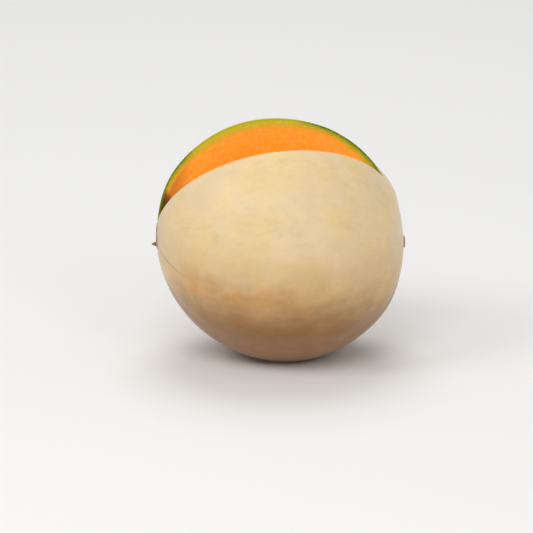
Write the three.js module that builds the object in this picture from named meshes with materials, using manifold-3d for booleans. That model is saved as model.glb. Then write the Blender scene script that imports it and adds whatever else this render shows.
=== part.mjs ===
// A smooth cream cantaloupe melon lying on its side, with one slice cut out of its top.
//
// Millimetres, +Z up. +X runs along the melon's own axis, from the stem end to the blossom end.
// The melon rests at z = 0 on the small spot that flattened where it lay, and the origin is the
// bottom centre of the whole object. The fruit grew as one piece, so it is one solid: skin, rind
// and flesh together. The slice leaves a V-shaped channel with two flat faces, and where the two
// cuts meet they break into the hollow that held the seeds. The dried stub of the stem is the
// only other piece. It stands in a small socket in the corky scar at the stem end.

import * as THREE from 'three';
import { mergeVertices } from 'three/addons/utils/BufferGeometryUtils.js';
import Module from 'manifold-3d';

const wasm = await Module();
wasm.setup();

// The fruit
const halfLength = 75.5;          // centre to either pole, along the melon's axis
const equatorRadius = 75.5;       // centre to the skin, across the axis
const lobeCount = 10;             // shallow lobes that run from pole to pole
const grooveDepth = 0.6;          // how far the grooves between the lobes dip
const grooveTurn = 1;             // degrees from straight up to the nearest groove
const restingSpotRadius = 17;     // the flat spot underneath
const axisTilt = 1.5;             // degrees that the stem end lies higher than the blossom end

// It grew a little lopsided: longer by this share along this direction than across it
const lopsided = 0.048;
const longWay = new THREE.Vector3(0.765, -0.178, -0.619).normalize();

// The corky scar at the stem end and the small button at the blossom end
const stemScarRadius = 9;
const stemScarHeight = 0.5;
const buttonRadius = 3.9;
const buttonHeight = 1.1;

// The hollow that held the seeds
const hollowHalfLength = 58;
const hollowRadius = 36;

// The slice that was cut out
const sliceAngle = 84;            // degrees between its two flat faces
const sliceDepthHeight = 26.45;   // height above the centre of the line where the cuts meet
const sliceRise = 11.5;           // degrees that this line climbs towards the blossom end
const sliceTurn = 2.2;            // degrees that it turns away from the melon's length
const sliceOffset = -3.47;        // its place across the melon, from the middle

// The stub of the stem
const stubRadius = 1.3;
const stubTipRadius = 0.7;
const stubReach = 2.4;            // how far it stands out of the scar
const stubRoot = 2;               // how deep it goes into its socket
const stubDrop = 3.5;             // how far it sits below the melon's centre
const clearance = 0.3;            // between the stub and its socket

// Steps in the meshes
const stepsAround = 60;
const stepsAlong = 26;
const hollowStepsAround = 28;
const hollowStepsAlong = 16;

// How much further out than in a round melon the skin is in a given direction
function growth(direction) {
  const alongLongWay = direction.clone().normalize().dot(longWay);
  return 1 + lopsided * (alongLongWay ** 2 - 0.5);
}

// Worked out from the sizes above
const stemEnd = (halfLength + stemScarHeight) * growth(new THREE.Vector3(-1, 0, 0));
const flattening = equatorRadius - Math.sqrt(equatorRadius ** 2 - restingSpotRadius ** 2);

function toSolid(geometry) {
  const bare = geometry.clone();
  bare.deleteAttribute('normal');
  bare.deleteAttribute('uv');
  const merged = mergeVertices(bare, 1e-4);
  return new wasm.Manifold(new wasm.Mesh({
    numProp: 3,
    vertProperties: new Float32Array(merged.attributes.position.array),
    triVerts: new Uint32Array(merged.index.array),
  }));
}

function toGeometry(solid) {
  const mesh = solid.getMesh();
  const geometry = new THREE.BufferGeometry();
  geometry.setAttribute('position', new THREE.BufferAttribute(mesh.vertProperties, 3));
  geometry.setIndex(new THREE.BufferAttribute(mesh.triVerts, 1));
  geometry.computeVertexNormals();
  return geometry;
}

// A lathe turns about Y. This lays it along X, with the start of its outline towards -X.
function alongX(geometry) {
  return geometry.rotateZ(-Math.PI / 2);
}

// The outline from the stem pole to the blossom pole: the scar's raised disc, the round of the
// fruit and the button. Each point is (distance from the axis, distance along it).
function fruitOutline() {
  const round = (angle) => new THREE.Vector2(equatorRadius * Math.sin(angle), -halfLength * Math.cos(angle));
  const scarEdge = Math.asin(stemScarRadius / equatorRadius);
  const buttonEdge = Math.PI - Math.asin(buttonRadius / equatorRadius);
  const scarTop = round(scarEdge * 0.8);
  const buttonTop = round(Math.PI - Math.asin(buttonRadius * 0.7 / equatorRadius));
  const points = [
    new THREE.Vector2(0, -halfLength - stemScarHeight),
    new THREE.Vector2(scarTop.x, scarTop.y - stemScarHeight),
  ];
  for (let i = 0; i <= stepsAlong; i++) {
    points.push(round(scarEdge + (buttonEdge - scarEdge) * i / stepsAlong));
  }
  points.push(new THREE.Vector2(buttonTop.x, buttonTop.y + buttonHeight * 0.8));
  points.push(new THREE.Vector2(0, halfLength + buttonHeight));
  return points;
}

// Dips the skin along the grooves. They fade out towards both poles.
function addGrooves(geometry) {
  const place = geometry.attributes.position;
  for (let i = 0; i < place.count; i++) {
    const x = place.getX(i);
    const y = place.getY(i);
    const z = place.getZ(i);
    const outward = Math.hypot(y, z);
    if (outward < stemScarRadius * 1.01) continue;
    const turn = Math.atan2(y, z) - THREE.MathUtils.degToRad(grooveTurn);
    const acrossLobe = Math.abs(Math.cos(turn * lobeCount / 2));
    const fade = Math.min(1, (outward - stemScarRadius) / (equatorRadius * 0.4));
    const scale = 1 - grooveDepth * acrossLobe ** 6 * fade / outward;
    place.setXYZ(i, x, y * scale, z * scale);
  }
  return geometry;
}

// Tilts the melon's axis and makes it lopsided.
function addGrowth(geometry) {
  geometry.rotateY(THREE.MathUtils.degToRad(axisTilt));
  const place = geometry.attributes.position;
  const point = new THREE.Vector3();
  for (let i = 0; i < place.count; i++) {
    point.fromBufferAttribute(place, i);
    point.multiplyScalar(growth(point));
    place.setXYZ(i, point.x, point.y, point.z);
  }
  return geometry;
}

// The fruit whole, about its own centre. Its box gives the height of the centre over the floor
// and its place along the object, whose box reaches from the stub's tip to the button.
const fruit = addGrowth(addGrooves(alongX(new THREE.LatheGeometry(fruitOutline(), stepsAround))));
fruit.computeBoundingBox();
const centre = new THREE.Vector3(
  (stemEnd + stubReach - fruit.boundingBox.max.x) / 2,
  -(fruit.boundingBox.max.y + fruit.boundingBox.min.y) / 2,
  -fruit.boundingBox.min.z - flattening,
);
fruit.translate(centre.x, centre.y, centre.z);

// A triangular bar with its lower edge along the line where the two cuts meet.
function sliceBar() {
  const height = 3 * equatorRadius;
  const halfWidth = height * Math.tan(THREE.MathUtils.degToRad(sliceAngle / 2));
  const section = new THREE.Shape();
  section.moveTo(0, 0);
  section.lineTo(halfWidth, height);
  section.lineTo(-halfWidth, height);
  section.closePath();
  const length = 6 * halfLength;
  const bar = new THREE.ExtrudeGeometry(section, { depth: length, bevelEnabled: false });
  bar.translate(0, 0, -length / 2);
  bar.rotateX(Math.PI / 2);
  bar.rotateZ(Math.PI / 2);
  bar.rotateY(-THREE.MathUtils.degToRad(sliceRise));
  bar.rotateZ(THREE.MathUtils.degToRad(sliceTurn));
  return bar.translate(centre.x, centre.y + sliceOffset, centre.z + sliceDepthHeight);
}

function melonBody() {
  const hollow = new THREE.SphereGeometry(1, hollowStepsAround, hollowStepsAlong);
  hollow.rotateZ(Math.PI / 2);
  hollow.scale(hollowHalfLength, hollowRadius, hollowRadius);
  hollow.translate(centre.x, centre.y, centre.z);

  const floor = new THREE.BoxGeometry(4 * halfLength, 4 * equatorRadius, 2 * equatorRadius);
  floor.translate(0, 0, -equatorRadius);

  const socketDepth = stubRoot + clearance + stemScarHeight;
  const socket = new THREE.CylinderGeometry(
    stubRadius + clearance, stubRadius + clearance, socketDepth * 2, 20);
  alongX(socket).translate(centre.x - stemEnd, centre.y, centre.z - stubDrop);

  let solid = toSolid(fruit);
  for (const cut of [hollow, sliceBar(), floor, socket]) {
    solid = solid.subtract(toSolid(cut));
  }
  return toGeometry(solid);
}

// A dry tapering peg. It bends downwards a little where it broke off.
function stemStub() {
  const length = stubRoot + stubReach;
  const outline = [
    new THREE.Vector2(0, 0),
    new THREE.Vector2(stubTipRadius * 0.7, 0),
    new THREE.Vector2(stubTipRadius, 0.3),
    new THREE.Vector2(stubRadius, stubReach),
    new THREE.Vector2(stubRadius, length),
    new THREE.Vector2(0, length),
  ];
  const stub = alongX(new THREE.LatheGeometry(outline, 16));
  return stub.translate(centre.x - stemEnd - stubReach, centre.y, centre.z - stubDrop);
}

function addPiece(group, name, geometry, colour, roughness) {
  const material = new THREE.MeshStandardMaterial({ color: colour, roughness, metalness: 0 });
  material.name = name;
  const mesh = new THREE.Mesh(geometry, material);
  mesh.name = name;
  group.add(mesh);
}

const melon = new THREE.Group();
addPiece(melon, 'melon_body', melonBody(), 0xe8cd96, 0.6);
addPiece(melon, 'stem_stub', stemStub(), 0xa5773f, 0.85);

export default melon;
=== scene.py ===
import math

import bmesh
import bpy
from mathutils import Matrix, Vector, noise


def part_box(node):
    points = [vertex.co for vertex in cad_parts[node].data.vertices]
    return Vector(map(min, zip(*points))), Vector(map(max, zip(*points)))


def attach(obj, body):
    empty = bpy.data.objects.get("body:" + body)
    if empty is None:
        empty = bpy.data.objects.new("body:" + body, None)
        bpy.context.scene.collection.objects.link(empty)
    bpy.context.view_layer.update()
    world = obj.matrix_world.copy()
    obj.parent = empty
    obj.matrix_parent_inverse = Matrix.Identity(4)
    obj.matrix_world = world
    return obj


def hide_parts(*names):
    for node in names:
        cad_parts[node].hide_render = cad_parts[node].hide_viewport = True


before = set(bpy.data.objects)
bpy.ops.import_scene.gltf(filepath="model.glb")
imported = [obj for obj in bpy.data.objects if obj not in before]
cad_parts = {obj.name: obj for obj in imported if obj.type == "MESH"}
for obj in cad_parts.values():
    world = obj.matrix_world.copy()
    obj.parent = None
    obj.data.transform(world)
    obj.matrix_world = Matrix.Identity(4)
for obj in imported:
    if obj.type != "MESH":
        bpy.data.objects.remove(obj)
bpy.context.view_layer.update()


# ---------------------------------------------------------------------------------------------
# The melon. One grown fruit, nearly round and a little lopsided, with a smooth waxy cream skin
# over ten very shallow lobes. A corky scar marks the stem end and a small brown button the
# blossom end, and it lies on the spot that flattened under it. Lengths are in metres.

MELON_RADIUS = 0.0755
LOPSIDED = 0.048
LONG_WAY = Vector((0.765, -0.178, -0.619)).normalized()
LEAN = math.radians(1.5)
SHOULDER_HEIGHT = 0.0006
UNEVENNESS = 0.00045
FINE_UNEVENNESS = 0.00014
LOBES = 10
GROOVE_TURN = math.radians(1)
GROOVE_DEPTH = 0.0005
CREASE_TURN = math.radians(-107.1)
CREASE_DEPTH = 0.00035
CREASE_HALF_WIDTH = 0.0008
CREASE_WANDER = 0.0004
CREASE_VALLEY_DEPTH = 0.0005
CREASE_VALLEY_HALF_WIDTH = 0.005
SCAR_RADIUS = 0.0088
SCAR_HEIGHT = 0.0005
SCAR_LUMPS = 0.00038
SCAR_RAGGEDNESS = 0.0007
SCAR_MOAT_DEPTH = 0.0003
BUTTON_RADIUS = 0.0039
BUTTON_HEIGHT = 0.0011
BUTTON_ROUGHNESS = 0.00012
SPOT_SOFTNESS = 0.0004
SKIN_SEGMENTS = 360
SKIN_RINGS = 170
STUB_ROOT = 0.002
STUB_DROP = 0.0035

# Where it grew unevenly: a direction from the centre, the angle over which it fades, and a height.
SWELLINGS = [
    (Vector((0.91, 0.11, 0.39)), 0.17, 0.0012),
    (Vector((-0.30, 0.44, 0.85)), 0.50, 0.0006),
    (Vector((-0.98, 0.10, 0.16)), 0.18, -0.0010),
    (Vector((0.81, -0.16, -0.57)), 0.25, 0.0006),
]


def growth(way):
    """The share by which the lopsided fruit reaches further in the direction of the unit vector way."""
    return 1 + LOPSIDED * (way.dot(LONG_WAY) ** 2 - 0.5)


stub_low, stub_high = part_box("stem_stub")
stem_end = (MELON_RADIUS + SCAR_HEIGHT) * growth(Vector((-1, 0, 0)))
centre = Vector((
    stub_high[0] - STUB_ROOT + stem_end,
    (stub_low[1] + stub_high[1]) / 2,
    (stub_low[2] + stub_high[2]) / 2 + STUB_DROP,
))
lean = Matrix.Rotation(LEAN, 3, "Y")


def smooth_step(low, high, value):
    t = min(1.0, max(0.0, (value - low) / (high - low)))
    return t * t * (3 - 2 * t)


def skin_radius(way):
    """How far the skin lies from the fruit's centre in the direction of the unit vector way."""
    own = lean.transposed() @ way
    turn = math.atan2(own.y, own.z)
    from_stem = math.acos(max(-1.0, min(1.0, -own.x)))
    outward = math.hypot(own.y, own.z)
    radius = MELON_RADIUS

    # The lobes, which fade towards both ends, and the crease in one groove near the stem.
    across = abs(math.cos((turn - GROOVE_TURN) * LOBES / 2))
    radius -= GROOVE_DEPTH * across ** 5 * smooth_step(0.15, 0.6, outward)
    off_crease = math.remainder(turn - CREASE_TURN, math.tau) * outward * MELON_RADIUS
    off_crease += CREASE_WANDER * noise.noise(Vector((from_stem * 14, 3, 0)))
    along_crease = smooth_step(0.16, 0.26, from_stem) * (1 - smooth_step(0.5, 0.75, from_stem))
    radius -= CREASE_DEPTH * math.exp(-(off_crease / CREASE_HALF_WIDTH) ** 2) * along_crease
    valley = math.exp(-(off_crease / CREASE_VALLEY_HALF_WIDTH) ** 2)
    radius -= CREASE_VALLEY_DEPTH * valley * along_crease

    # The swellings, a blunt shoulder round the blossom end, and a soft unevenness all over.
    for place, fade, height in SWELLINGS:
        radius += height * math.exp(-(way.angle(place) / fade) ** 2)
    radius += SHOULDER_HEIGHT * math.exp(-((math.pi - from_stem - 0.5) / 0.2) ** 2)
    radius += UNEVENNESS * noise.noise(way * 1.7) + FINE_UNEVENNESS * noise.noise(way * 6.0)

    # The corky scar at the stem end, in a shallow moat, and the button at the other end.
    near_pole = Vector((own.y, own.z, 0)) * MELON_RADIUS
    if own.x < 0:
        round_scar = Vector((math.sin(turn), math.cos(turn), 0.3))
        ragged = SCAR_RAGGEDNESS * noise.noise(round_scar * 2.5)
        from_pole = near_pole.length + ragged
        on_scar = 1 - smooth_step(SCAR_RADIUS * 0.84, SCAR_RADIUS, from_pole)
        lumps = noise.fractal(near_pole * 620, 1.0, 2.0, 3)
        radius += on_scar * (SCAR_HEIGHT * 0.5 + SCAR_LUMPS * lumps)
        radius -= SCAR_MOAT_DEPTH * math.exp(-((from_pole - SCAR_RADIUS * 1.12) / 0.0012) ** 2)
    else:
        from_pole = near_pole.length
        rim = math.exp(-((from_pole - BUTTON_RADIUS * 0.78) / 0.0009) ** 2)
        on_button = 1 - smooth_step(BUTTON_RADIUS * 0.8, BUTTON_RADIUS * 1.08, from_pole)
        rough = noise.noise(near_pole * 900)
        radius += on_button * (BUTTON_HEIGHT * 0.62 + BUTTON_ROUGHNESS * rough)
        radius += rim * BUTTON_HEIGHT * 0.3
    return radius * growth(way)


def place_on_skin(way):
    """The point of the skin in that direction, with the underside flattened softly on the floor."""
    place = centre + way * skin_radius(way)
    place.z = (place.z + math.hypot(place.z, SPOT_SOFTNESS)) / 2
    return place


def add_object(name, mesh_data):
    thing = bpy.data.objects.new(name, mesh_data)
    bpy.context.scene.collection.objects.link(thing)
    return thing


def mesh_from(bm, name, material):
    """Turns a bmesh into an object with one material, smooth all over."""
    for face in bm.faces:
        face.smooth = True
    mesh_data = bpy.data.meshes.new(name)
    bm.to_mesh(mesh_data)
    bm.free()
    mesh_data.materials.append(material)
    return add_object(name, mesh_data)


class Nodes:
    """A material's node tree, built in the order that the pattern is worked out."""

    def __init__(self, name):
        self.material = bpy.data.materials.new(name)
        self.material.use_nodes = True
        self.tree = self.material.node_tree
        self.shader = self.tree.nodes["Principled BSDF"]
        self.places = self.add("ShaderNodeTexCoord").outputs["Object"]

    def add(self, kind, settings=(), **inputs):
        node = self.tree.nodes.new(kind)
        for key, value in dict(settings).items():
            setattr(node, key, value)
        for key, value in inputs.items():
            self.feed(node.inputs[key.replace("_", " ")], value)
        return node

    def feed(self, socket, value):
        if isinstance(value, bpy.types.NodeSocket):
            self.tree.links.new(value, socket)
        else:
            socket.default_value = value

    def fruit_places(self):
        """Places in the fruit's own frame: from its centre, with X along its leaning axis."""
        node = self.add("ShaderNodeMapping", {"vector_type": "TEXTURE"},
                        Vector=self.places, Location=centre, Rotation=(0, LEAN, 0))
        return node.outputs["Vector"]

    def math(self, operation, first, second=0.0, third=0.0):
        node = self.tree.nodes.new("ShaderNodeMath")
        node.operation = operation
        for socket, value in zip(node.inputs, (first, second, third)):
            self.feed(socket, value)
        return node.outputs[0]

    def times(self, *values):
        product = values[0]
        for value in values[1:]:
            product = self.math("MULTIPLY", product, value)
        return product

    def vector(self, operation, first, second=(0, 0, 0), scale=None):
        node = self.tree.nodes.new("ShaderNodeVectorMath")
        node.operation = operation
        self.feed(node.inputs[0], first)
        self.feed(node.inputs[1], second)
        if scale is not None:
            self.feed(node.inputs["Scale"], scale)
        return node.outputs["Value" if operation == "LENGTH" else "Vector"]

    def noise(self, places, scale, detail=2.0, roughness=0.5, distortion=0.0):
        return self.add("ShaderNodeTexNoise", Vector=places, Scale=scale, Detail=detail,
                        Roughness=roughness, Distortion=distortion).outputs["Fac"]

    def step(self, value, low, high, to_low=0.0, to_high=1.0):
        """A smooth step from to_low at low to to_high at high."""
        node = self.add("ShaderNodeMapRange", {"interpolation_type": "SMOOTHSTEP"})
        for socket, number in zip(node.inputs, (value, low, high, to_low, to_high)):
            self.feed(socket, number)
        return node.outputs[0]

    def mix(self, share, first, second, blend="MIX"):
        node = self.add("ShaderNodeMix", {"data_type": "RGBA", "blend_type": blend})
        self.feed(node.inputs[0], share)
        self.feed(node.inputs[6], first)
        self.feed(node.inputs[7], second)
        return node.outputs[2]

    def ramp(self, value, stops):
        node = self.add("ShaderNodeValToRGB", Fac=value)
        bands = node.color_ramp.elements
        while len(bands) < len(stops):
            bands.new(0.5)
        for band, (position, colour) in zip(bands, stops):
            band.position = position
            band.color = colour
        return node.outputs["Color"]

    def bump(self, height, distance, strength=1.0, under=None):
        node = self.add("ShaderNodeBump", Height=height, Distance=distance, Strength=strength)
        if under is not None:
            self.feed(node.inputs["Normal"], under)
        return node.outputs["Normal"]


def colour(red, green, blue):
    """A display colour of 0 to 255 as the linear colour that a shader takes."""
    def linear(part):
        part /= 255
        return part / 12.92 if part <= 0.04045 else ((part + 0.055) / 1.055) ** 2.4
    return (linear(red), linear(green), linear(blue), 1.0)


WARM_CREAM = colour(234, 206, 151)
COOL_CREAM = colour(231, 206, 162)
TAN_AND_PAINTED_SHADE = colour(208, 171, 117)
UNDERSIDE_PAINTED_SHADE = colour(143, 93, 38)
CREASE_SIDE_ORANGE = colour(202, 146, 76)
STREAK_GREY = colour(182, 163, 126)
CREASE_PAINTED_SHADE = colour(140, 114, 84)
SPECK_ORANGE = colour(222, 164, 92)
PAINTED_GREY_SHEEN = colour(184, 161, 128)
HALO_BROWN = colour(164, 140, 108)


def skin_material():
    n = Nodes("cream_skin")
    local = n.fruit_places()
    x, y, z = n.add("ShaderNodeSeparateXYZ", Vector=local).outputs
    across = n.vector("MULTIPLY", local, (0, 1, 1))
    from_axis = n.vector("LENGTH", across)
    turn = n.math("ARCTAN2", y, z)

    # Cream on top, and painted shade below: a tan ground-spot tone spread over the lower half,
    # deepening to a painted brown shade underneath where it lay.
    drawn_out = n.vector("MULTIPLY", local, (0.8, 1, 1))
    patches = n.noise(drawn_out, 42, detail=3, roughness=0.6)
    base = n.mix(n.step(patches, 0.36, 0.64), WARM_CREAM, COOL_CREAM)
    height = n.math("ADD", z, n.times(n.math("SUBTRACT", patches, 0.5), 0.02))
    off_stem = n.step(x, -0.078, -0.064)
    # Painted shade by height: tan over the lower half, then brown on the underside.
    base = n.mix(n.times(n.step(height, 0.022, -0.022, 0, 0.9), off_stem), base, TAN_AND_PAINTED_SHADE)
    base = n.mix(n.times(n.step(height, -0.010, -0.044, 0, 0.9), off_stem), base, UNDERSIDE_PAINTED_SHADE)
    # Orange-brown patches in the groove with the crease, between the scar and the middle.
    off_crease = n.times(n.math("ABSOLUTE", n.math("SUBTRACT", turn, CREASE_TURN)), from_axis)
    crease_orange = n.times(n.step(off_crease, 0.014, 0.001), n.step(x, -0.066, -0.05), n.step(x, 0.045, -0.01))
    crease_orange = n.times(crease_orange, n.step(n.noise(drawn_out, 120, detail=3), 0.3, 0.62, 0.35, 1))
    base = n.mix(n.times(crease_orange, 0.75), base, CREASE_SIDE_ORANGE)

    # Faint grey-brown streaks along the length, mostly in the grooves between the lobes.
    round_way = n.vector("SCALE", n.vector("NORMALIZE", across), scale=MELON_RADIUS)
    along = n.vector("MULTIPLY", local, (0.45, 0, 0))
    streaks = n.noise(n.vector("ADD", round_way, along), 190, detail=5, roughness=0.62, distortion=0.8)
    lobe_turn = n.times(n.math("SUBTRACT", turn, GROOVE_TURN), LOBES / 2)
    groove = n.math("POWER", n.math("ABSOLUTE", n.math("COSINE", lobe_turn)), 4)
    streaked = n.times(n.step(streaks, 0.40, 0.78), n.math("ADD", n.times(groove, 0.15), 0.10))
    base = n.mix(streaked, base, STREAK_GREY)

    # The mottling: cool and warm patches of every size, and lighter and darker ones, which are
    # stronger on the underside.
    tint = n.noise(drawn_out, 62, detail=6, roughness=0.72)
    shade = n.noise(drawn_out, 90, detail=5, roughness=0.66)
    grain = n.noise(local, 800, detail=2, roughness=0.6)
    tints = n.mix(n.step(tint, 0.25, 0.75), (0.985, 0.990, 1.07, 1), (1.01, 0.995, 0.92, 1))
    base = n.mix(1.0, base, tints, "MULTIPLY")
    shades = n.mix(n.step(shade, 0.25, 0.75), (0.96, 0.96, 0.96, 1), (1.035, 1.035, 1.035, 1))
    base = n.mix(1.0, base, shades, "MULTIPLY")
    grains = n.mix(n.step(grain, 0.3, 0.7), (0.993, 0.995, 1.03, 1), (1.007, 1.0, 0.97, 1))
    base = n.mix(1.0, base, grains, "MULTIPLY")
    blotches = n.mix(n.step(shade, 0.3, 0.7), (0.93, 0.93, 0.92, 1), (1.05, 1.05, 1.05, 1))
    base = n.mix(n.step(z, 0.004, -0.020), base, n.mix(1.0, base, blotches, "MULTIPLY"))

    # Painted shade in the crease itself, a thin brown line from the scar's edge.
    wander = n.times(n.math("SUBTRACT", n.noise(local, 190), 0.5), 0.0008)
    painted_crease_shade = n.step(n.math("ADD", off_crease, wander), CREASE_HALF_WIDTH, 0.0001)
    painted_crease_shade = n.times(painted_crease_shade, n.step(x, -0.0745, -0.0715), n.step(x, -0.054, -0.064))
    base = n.mix(n.times(painted_crease_shade, 0.5), base, CREASE_PAINTED_SHADE)

    # Sparse orange-brown specks.
    cells = n.add("ShaderNodeTexVoronoi", Vector=local, Scale=150, Randomness=1.0)
    speck = n.step(cells.outputs["Distance"], 0.10, 0.05)
    speck = n.times(speck, n.step(n.noise(local, 75, detail=1), 0.56, 0.64))
    base = n.mix(n.times(speck, 0.5), base, SPECK_ORANGE)

    # The corky scar at the stem end, with a painted grey sheen round it, standing for shade and grazing
    # reflection at the fruit's edge, and a brownish halo around it.
    ragged = n.math("SUBTRACT", n.noise(local, 260, detail=3), 0.5)
    from_scar = n.math("ADD", from_axis, n.times(ragged, 0.0022))
    stem_side = n.step(x, -0.045, -0.06)
    painted_grey_sheen = n.times(n.step(from_scar, 0.036, 0.014), stem_side, 0.5)
    base = n.mix(painted_grey_sheen, base, PAINTED_GREY_SHEEN)
    halo = n.times(n.step(from_scar, 0.018, 0.009), stem_side, 0.6)
    base = n.mix(halo, base, HALO_BROWN)
    scar = n.times(n.step(from_scar, SCAR_RADIUS + 0.0007, SCAR_RADIUS - 0.0003), stem_side)
    cork = n.ramp(n.noise(local, 700, detail=5, roughness=0.7), [
        (0.30, colour(96, 68, 44)), (0.48, colour(150, 118, 84)), (0.68, colour(196, 168, 130))])
    base = n.mix(scar, base, cork)

    # The button at the blossom end.
    button_edge = n.math("ADD", from_axis, n.times(ragged, 0.0012))
    button = n.step(button_edge, BUTTON_RADIUS + 0.0006, BUTTON_RADIUS - 0.0002)
    button = n.times(button, n.step(x, 0.05, 0.07))
    button_tone = n.ramp(n.noise(local, 800, detail=4), [
        (0.35, colour(128, 92, 62)), (0.60, colour(186, 146, 106))])
    base = n.mix(button, base, button_tone)

    dry = n.math("MAXIMUM", scar, button)
    waxy = n.step(shade, 0.3, 0.7, 0.37, 0.47)
    n.feed(n.shader.inputs["Base Color"], base)
    n.feed(n.shader.inputs["Roughness"], n.math("ADD", waxy, n.times(dry, 0.35)))
    n.shader.inputs["IOR"].default_value = 1.48
    n.shader.inputs["Sheen Weight"].default_value = 0.22
    n.shader.inputs["Sheen Roughness"].default_value = 0.4
    n.shader.inputs["Subsurface Weight"].default_value = 0.12
    n.shader.inputs["Subsurface Radius"].default_value = (0.004, 0.002, 0.001)
    n.shader.inputs["Subsurface Scale"].default_value = 1.0
    pores = n.bump(grain, 0.0001, 0.5)
    waves = n.bump(streaks, 0.0002, 0.2, under=pores)
    cork_lumps = n.times(n.noise(local, 1100, detail=4, roughness=0.7), dry)
    n.feed(n.shader.inputs["Normal"], n.bump(cork_lumps, 0.0006, 0.9, under=waves))
    return n.material


skin_bm = bmesh.new()
bmesh.ops.create_uvsphere(
    skin_bm, u_segments=SKIN_SEGMENTS, v_segments=SKIN_RINGS, radius=1.0)
poles_on_axis = lean @ Matrix.Rotation(math.radians(90), 3, "Y")
bmesh.ops.rotate(skin_bm, verts=skin_bm.verts, matrix=poles_on_axis)
for vertex in skin_bm.verts:
    vertex.co = place_on_skin(vertex.co.normalized())
bmesh.ops.recalc_face_normals(skin_bm, faces=skin_bm.faces)
melon = mesh_from(skin_bm, "melon", skin_material())


# ---------------------------------------------------------------------------------------------
# The cut. A knife took out one slice with two straight cuts that meet in a V, on a line that
# climbs towards the blossom end. The cut faces show the rind, green under the skin and lime
# further in, and the juicy orange flesh.

SLICE_ANGLE = math.radians(84)
SLICE_HEIGHT = 0.02645
SLICE_RISE = math.radians(11.5)
SLICE_TURN = math.radians(2.2)
SLICE_OFFSET = -0.00347
KNIFE_LENGTH = 0.19
KNIFE_REACH = 0.067
KNIFE_HEIGHT = 0.12
KNIFE_STEP = 0.00095
KNIFE_WAVER = 0.0004
FLESH_TEXTURE = 0.00012
STRAIGHT_NEAR_FOLD = 0.008
RIND = 0.008
LIME_FIBRE = colour(216, 196, 84)
OUTER_FLESH = colour(252, 156, 42)
INNER_FLESH = colour(254, 143, 12)
PALE_FLESH = colour(254, 166, 68)
DEEP_FLESH = colour(253, 136, 8)
PALE_GRAIN = colour(254, 170, 76)
STEM_END_PAINTED_SHADE = colour(196, 116, 34)
PEEL_AND_SHADE_BROWN = colour(128, 72, 4)
PEEL_AND_SHADE_OLIVE = colour(82, 64, 3)


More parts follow.
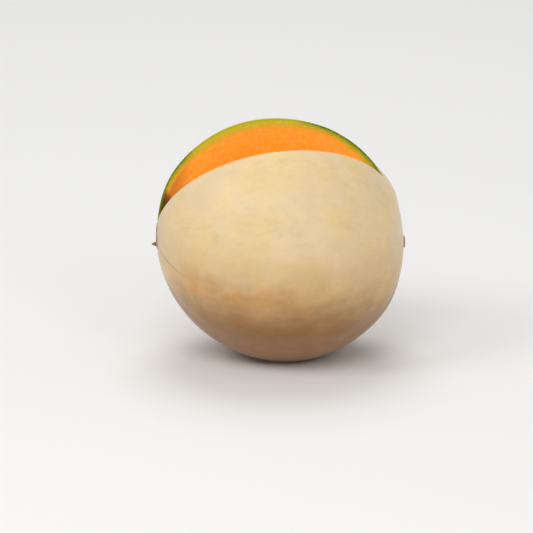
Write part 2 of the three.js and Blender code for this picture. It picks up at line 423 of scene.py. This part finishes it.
def flesh_material():
    n = Nodes("cut_flesh")
    local = n.fruit_places()
    x, _, z = n.add("ShaderNodeSeparateXYZ", Vector=local).outputs
    depth = n.add("ShaderNodeAttribute", {"attribute_name": "skin_depth"}).outputs["Fac"]

    # How deep a point lies in the rind, whose inner edge is soft and uneven, and which is thinner
    # towards both ends.
    uneven = n.times(n.math("SUBTRACT", n.noise(local, 120, detail=2), 0.5), 0.0030)
    frayed = n.times(n.math("SUBTRACT", n.noise(local, 520, detail=2), 0.5), 0.0022)
    wobble = n.times(n.math("ADD", uneven, frayed), n.step(depth, 0.0004, 0.0035))
    blossom_side = n.step(x, -0.004, 0.034)
    stem_side = n.step(x, -0.044, -0.066)
    thinner = n.math("ADD", n.times(blossom_side, 0.35), n.times(stem_side, 0.75))
    rind_depth = n.times(n.math("ADD", depth, wobble), n.math("ADD", thinner, 1.0))

    pale_rind = n.ramp(n.math("DIVIDE", rind_depth, RIND), [
        (0.00, colour(206, 200, 60)), (0.05, colour(182, 172, 4)), (0.12, colour(178, 166, 4)),
        (0.22, colour(192, 177, 26)), (0.36, colour(200, 180, 42)), (0.48, colour(204, 173, 38)),
        (0.58, colour(216, 166, 38)), (0.72, colour(233, 159, 36)), (0.88, colour(243, 155, 36)),
        (1.00, colour(248, 153, 38))])
    dark_rind = n.ramp(n.math("DIVIDE", rind_depth, RIND), [
        (0.00, colour(132, 146, 8)), (0.05, colour(84, 106, 1)), (0.14, colour(100, 116, 1)),
        (0.24, colour(134, 143, 3)), (0.36, colour(168, 161, 14)), (0.50, colour(196, 160, 28)),
        (0.64, colour(222, 154, 34)), (0.80, colour(239, 152, 36)), (1.00, colour(248, 152, 38))])
    darker = n.math("MAXIMUM", blossom_side, stem_side)
    blotch = n.noise(local, 90, detail=2)
    darker = n.math("ADD", darker, n.times(n.math("SUBTRACT", blotch, 0.5), 0.5))
    rind = n.mix(n.step(darker, 0.1, 0.9), pale_rind, dark_rind)
    fibres = n.noise(local, 600, detail=2)
    rind = n.mix(n.step(fibres, 0.45, 0.7, 0, 0.25), rind, LIME_FIBRE)

    # The flesh, paler under the rind and deeper orange inside, with a fine wet grain.
    mottle = n.noise(local, 430, detail=3, roughness=0.6)
    grain = n.noise(local, 1100, detail=3, roughness=0.6)
    flesh = n.mix(n.step(depth, 0.006, 0.030), OUTER_FLESH, INNER_FLESH)
    flesh = n.mix(n.step(mottle, 0.48, 0.68, 0, 0.5), flesh, PALE_FLESH)
    flesh = n.mix(n.step(mottle, 0.50, 0.32, 0, 0.5), flesh, DEEP_FLESH)
    flesh = n.mix(n.step(grain, 0.52, 0.72, 0, 0.3), flesh, PALE_GRAIN)
    # Painted shade: the flesh darkens towards the stem end, where the narrow V keeps the light out.
    flesh = n.mix(n.step(x, -0.052, -0.068, 0, 0.9), flesh, STEM_END_PAINTED_SHADE)
    base = n.mix(n.step(rind_depth, RIND * 0.62, RIND * 0.95), rind, flesh)

    # The narrow corner at the stem end, brown and then dark olive: the peel shows through, darkened
    # with painted shade where the crevice keeps the light out.
    corner = n.math("ADD", x, z)
    inside = n.times(n.step(depth, 0.0005, 0.0016), n.step(depth, 0.0085, 0.0045))
    base = n.mix(n.times(n.step(corner, -0.0412, -0.0474), inside), base, PEEL_AND_SHADE_BROWN)
    base = n.mix(n.times(n.step(corner, -0.0468, -0.0512), inside), base, PEEL_AND_SHADE_OLIVE)

    n.feed(n.shader.inputs["Base Color"], base)
    n.feed(n.shader.inputs["Roughness"], n.step(grain, 0.3, 0.7, 0.34, 0.5))
    n.shader.inputs["IOR"].default_value = 1.36
    n.shader.inputs["Specular IOR Level"].default_value = 0.16
    n.shader.inputs["Subsurface Weight"].default_value = 0.2
    n.shader.inputs["Subsurface Radius"].default_value = (0.005, 0.0016, 0.0005)
    n.shader.inputs["Subsurface Scale"].default_value = 1.0
    wet = n.bump(grain, 0.0005, 0.5)
    n.feed(n.shader.inputs["Normal"], n.bump(mottle, 0.0008, 0.4, under=wet))
    return n.material


half_angle = SLICE_ANGLE / 2
knife_bm = bmesh.new()
bmesh.ops.create_grid(
    knife_bm,
    x_segments=round(KNIFE_LENGTH / KNIFE_STEP),
    y_segments=2 * round(KNIFE_REACH / KNIFE_STEP),
    size=1.0,
)
for vertex in knife_bm.verts:
    along = vertex.co.x * KNIFE_LENGTH / 2
    down_face = vertex.co.y * KNIFE_REACH
    face_side = math.copysign(7, down_face)
    waver = KNIFE_WAVER * noise.noise(Vector((along * 22, face_side, down_face * 30)))
    waver += FLESH_TEXTURE * noise.noise(Vector((along * 330, face_side, down_face * 330)))
    waver *= smooth_step(0.0, STRAIGHT_NEAR_FOLD, abs(down_face))
    rise = abs(down_face) * math.cos(half_angle) + waver
    vertex.co = Vector((along, down_face * math.sin(half_angle), rise))
blade = bmesh.ops.extrude_face_region(knife_bm, geom=list(knife_bm.faces))
raised = [part for part in blade["geom"] if isinstance(part, bmesh.types.BMVert)]
bmesh.ops.translate(knife_bm, verts=raised, vec=(0, 0, KNIFE_HEIGHT))
tilted = Matrix.Rotation(SLICE_TURN, 3, "Z") @ Matrix.Rotation(-SLICE_RISE, 3, "Y")
bmesh.ops.rotate(knife_bm, verts=knife_bm.verts, matrix=tilted)
knife_place = centre + Vector((0, SLICE_OFFSET, SLICE_HEIGHT))
bmesh.ops.translate(knife_bm, verts=knife_bm.verts, vec=knife_place)
bmesh.ops.recalc_face_normals(knife_bm, faces=knife_bm.faces)
knife = mesh_from(knife_bm, "knife", flesh_material())


# ---------------------------------------------------------------------------------------------
# The hollow in the middle that held the seeds, scooped clean. Its wall is soft deep orange
# flesh, ribbed from end to end where the seed strings grew, with pale torn fibres.

HOLLOW_HALF_LENGTH = 0.058
HOLLOW_RADIUS = 0.036
HOLLOW_RIBS = 6
HOLLOW_RIB_HEIGHT = 0.0009
HOLLOW_TORN_DEPTH = 0.0011
HOLLOW_LINING = 0.0012
HOLLOW_SEGMENTS = 150
HOLLOW_RINGS = 76
TORN_FLESH = colour(250, 190, 100)
SHARP_EDGE = math.radians(35)


def hollow_material():
    n = Nodes("seed_hollow")
    local = n.fruit_places()
    stretched = n.vector("MULTIPLY", local, (0.22, 1, 1))
    strands = n.noise(stretched, 330, detail=5, roughness=0.65, distortion=0.8)
    patches = n.noise(local, 70, detail=3)
    base = n.ramp(strands, [
        (0.30, colour(244, 122, 16)), (0.48, colour(252, 142, 30)),
        (0.62, colour(254, 170, 66)), (0.78, colour(252, 208, 128))])
    base = n.mix(n.step(patches, 0.5, 0.7, 0, 0.5), base, TORN_FLESH)
    n.feed(n.shader.inputs["Base Color"], base)
    n.shader.inputs["Roughness"].default_value = 0.38
    n.shader.inputs["Subsurface Weight"].default_value = 0.3
    n.shader.inputs["Subsurface Radius"].default_value = (0.008, 0.003, 0.0008)
    n.shader.inputs["Subsurface Scale"].default_value = 1.0
    n.feed(n.shader.inputs["Normal"], n.bump(strands, 0.0016, 0.8))
    return n.material


hollow_bm = bmesh.new()
bmesh.ops.create_uvsphere(
    hollow_bm, u_segments=HOLLOW_SEGMENTS, v_segments=HOLLOW_RINGS, radius=1.0)
bmesh.ops.rotate(hollow_bm, verts=hollow_bm.verts, matrix=Matrix.Rotation(math.radians(90), 3, "Y"))
for vertex in hollow_bm.verts:
    way = vertex.co.normalized()
    turn = math.atan2(way.y, way.z)
    ribs = HOLLOW_RIB_HEIGHT * math.cos(turn * HOLLOW_RIBS) * math.hypot(way.y, way.z)
    strand = Vector((way.x * 1.5, way.y * 7, way.z * 7))
    torn = HOLLOW_TORN_DEPTH * noise.fractal(strand, 1.0, 2.0, 4)
    size = 1 - (HOLLOW_LINING - ribs - torn) / HOLLOW_RADIUS
    reach = Vector((way.x * HOLLOW_HALF_LENGTH, way.y * HOLLOW_RADIUS, way.z * HOLLOW_RADIUS))
    vertex.co = centre + reach * size
bmesh.ops.recalc_face_normals(hollow_bm, faces=hollow_bm.faces)
hollow = mesh_from(hollow_bm, "hollow", hollow_material())

# The hollow and the cut are carved out of the melon, which keeps their materials, and each point
# of it then gets its depth under the skin.
for tool in (hollow, knife):
    cut = melon.modifiers.new(tool.name, "BOOLEAN")
    cut.operation = "DIFFERENCE"
    cut.solver = "MANIFOLD"
    cut.material_mode = "TRANSFER"
    cut.object = tool
whole = melon.evaluated_get(bpy.context.evaluated_depsgraph_get())
carved = bpy.data.meshes.new_from_object(whole)
melon.modifiers.clear()
melon.data = carved
for tool in (hollow, knife):
    bpy.data.objects.remove(tool)

carved.name = "melon"
carved.set_sharp_from_angle(angle=SHARP_EDGE)
skin_depth = carved.attributes.new("skin_depth", "FLOAT", "POINT")
for vertex, depth in zip(carved.vertices, skin_depth.data):
    outwards = vertex.co - centre
    depth.value = skin_radius(outwards.normalized()) - outwards.length
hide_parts("melon_body")
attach(melon, "root")


# ---------------------------------------------------------------------------------------------
# The stub of the stem: what is left of the stalk where the melon was picked, a dry, ribbed peg
# that broke off short and stands in the corky scar, a little below its middle.

STUB_RADIUS = 0.0013
STUB_TIP_RADIUS = 0.0005
STUB_SEGMENTS = 42
STUB_RINGS = 14
STUB_RIBS = 7
STUB_RIB_DEPTH = 0.07
STUB_TORN_DEPTH = 0.0004
STUB_WHOLE_SHARE = 0.97


def stub_material():
    n = Nodes("dry_stem")
    stretched = n.vector("MULTIPLY", n.places, (0.3, 1, 1))
    fibres = n.noise(stretched, 1800, detail=4, roughness=0.7)
    base = n.ramp(fibres, [
        (0.32, colour(120, 66, 20)), (0.50, colour(180, 112, 44)), (0.70, colour(228, 184, 124))])
    n.feed(n.shader.inputs["Base Color"], base)
    n.shader.inputs["Roughness"].default_value = 0.8
    n.feed(n.shader.inputs["Normal"], n.bump(fibres, 0.0004, 0.8))
    return n.material


stub_length = stub_high[0] - stub_low[0]
stub_foot = Vector((stub_high[0], centre.y, centre.z - STUB_DROP))
stub_bm = bmesh.new()
bmesh.ops.create_circle(stub_bm, cap_ends=True, segments=STUB_SEGMENTS, radius=STUB_RADIUS)
bmesh.ops.rotate(stub_bm, verts=stub_bm.verts, matrix=Matrix.Rotation(math.radians(-90), 3, "Y"))
end_face = stub_bm.faces[:]
for ring in range(STUB_RINGS):
    grown = bmesh.ops.extrude_face_region(stub_bm, geom=end_face)
    end_face = [part for part in grown["geom"] if isinstance(part, bmesh.types.BMFace)]
    ring_verts = [part for part in grown["geom"] if isinstance(part, bmesh.types.BMVert)]
    ring_gap = -stub_length * STUB_WHOLE_SHARE / STUB_RINGS
    bmesh.ops.translate(stub_bm, verts=ring_verts, vec=(ring_gap, 0, 0))
bmesh.ops.recalc_face_normals(stub_bm, faces=stub_bm.faces)
for vertex in stub_bm.verts:
    along = -vertex.co.x / stub_length
    turn = math.atan2(vertex.co.y, vertex.co.z)
    narrowing = 1 - (1 - STUB_TIP_RADIUS / STUB_RADIUS) * smooth_step(0.4, 1.0, along)
    ribs = 1 - STUB_RIB_DEPTH * (0.5 + 0.5 * math.cos(turn * STUB_RIBS))
    torn_end = STUB_TORN_DEPTH * (1 + noise.noise(Vector((vertex.co.y, vertex.co.z, 0)) * 1500))
    vertex.co.y *= narrowing * ribs
    vertex.co.z *= narrowing * ribs
    vertex.co.x += torn_end * smooth_step(0.75, 1.0, along)
bmesh.ops.translate(stub_bm, verts=stub_bm.verts, vec=stub_foot)
stub = mesh_from(stub_bm, "stem_stub_dry", stub_material())
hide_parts("stem_stub")
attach(stub, "root")


# ---------------------------------------------------------------------------------------------
# The studio: a wide pale floor, soft lights around the front and one from behind, and a long
# lens that looks down a little from the front.

FLOOR_REACH = 6.0
FLOOR_COLOUR = (0.86, 0.855, 0.845, 1)
LIGHT_DISTANCE = 2.2
ROOM_LIGHT = 0.46

floor_bm = bmesh.new()
bmesh.ops.create_grid(floor_bm, x_segments=1, y_segments=1, size=FLOOR_REACH)
floor_nodes = Nodes("pale_floor")
floor_nodes.shader.inputs["Base Color"].default_value = FLOOR_COLOUR
floor_nodes.shader.inputs["Roughness"].default_value = 0.8
floor = mesh_from(floor_bm, "floor", floor_nodes.material)


def soft_light(name, turn, height, size, power):
    """A round soft light, turned round the melon from the front and raised, in degrees."""
    lamp = bpy.data.lights.new(name, "AREA")
    lamp.shape = "DISK"
    lamp.size = size
    lamp.energy = power
    thing = add_object(name, lamp)
    turn, height = math.radians(turn), math.radians(height)
    outward = math.cos(height)
    way = Vector((math.sin(turn) * outward, -math.cos(turn) * outward, math.sin(height)))
    thing.location = centre + way * LIGHT_DISTANCE
    thing.rotation_euler = way.to_track_quat("Z", "Y").to_euler()


soft_light("key_light", -60, 40, 1.0, 10)
soft_light("right_light", 30, 30, 0.6, 4.4)
soft_light("front_light", -10, 45, 1.2, 12.6)
soft_light("side_light", 95, 12, 1.0, 1.5)
soft_light("back_light", 180, 60, 1.4, 15)

world = bpy.data.worlds.new("studio")
world.use_nodes = True
world.node_tree.nodes["Background"].inputs["Color"].default_value = (1.0, 1.0, 1.0, 1)
world.node_tree.nodes["Background"].inputs["Strength"].default_value = ROOM_LIGHT
bpy.context.scene.world = world
bpy.context.scene.view_settings.view_transform = "Standard"

MELON_SHARE_OF_VIEW = 0.46266
CAMERA_TILT = math.radians(15.5)
CAMERA_DISTANCE = 3.0
SENSOR_WIDTH = 36
AIM_ACROSS = -0.0082
AIM_UP = -0.0172

camera_data = bpy.data.cameras.new("camera")
camera = add_object("camera", camera_data)
to_camera = Vector((0, -math.cos(CAMERA_TILT), math.sin(CAMERA_TILT)))
view_up = Vector((0, math.sin(CAMERA_TILT), math.cos(CAMERA_TILT)))
aim = centre + Vector((AIM_ACROSS, 0, 0)) + view_up * AIM_UP
camera.location = aim + to_camera * CAMERA_DISTANCE
camera.rotation_euler = (-to_camera).to_track_quat("-Z", "Y").to_euler()
seen_width = 2 * MELON_RADIUS / MELON_SHARE_OF_VIEW
camera_data.sensor_width = SENSOR_WIDTH
camera_data.lens = SENSOR_WIDTH * CAMERA_DISTANCE / seen_width
camera_data.clip_end = 20
bpy.context.scene.camera = camera
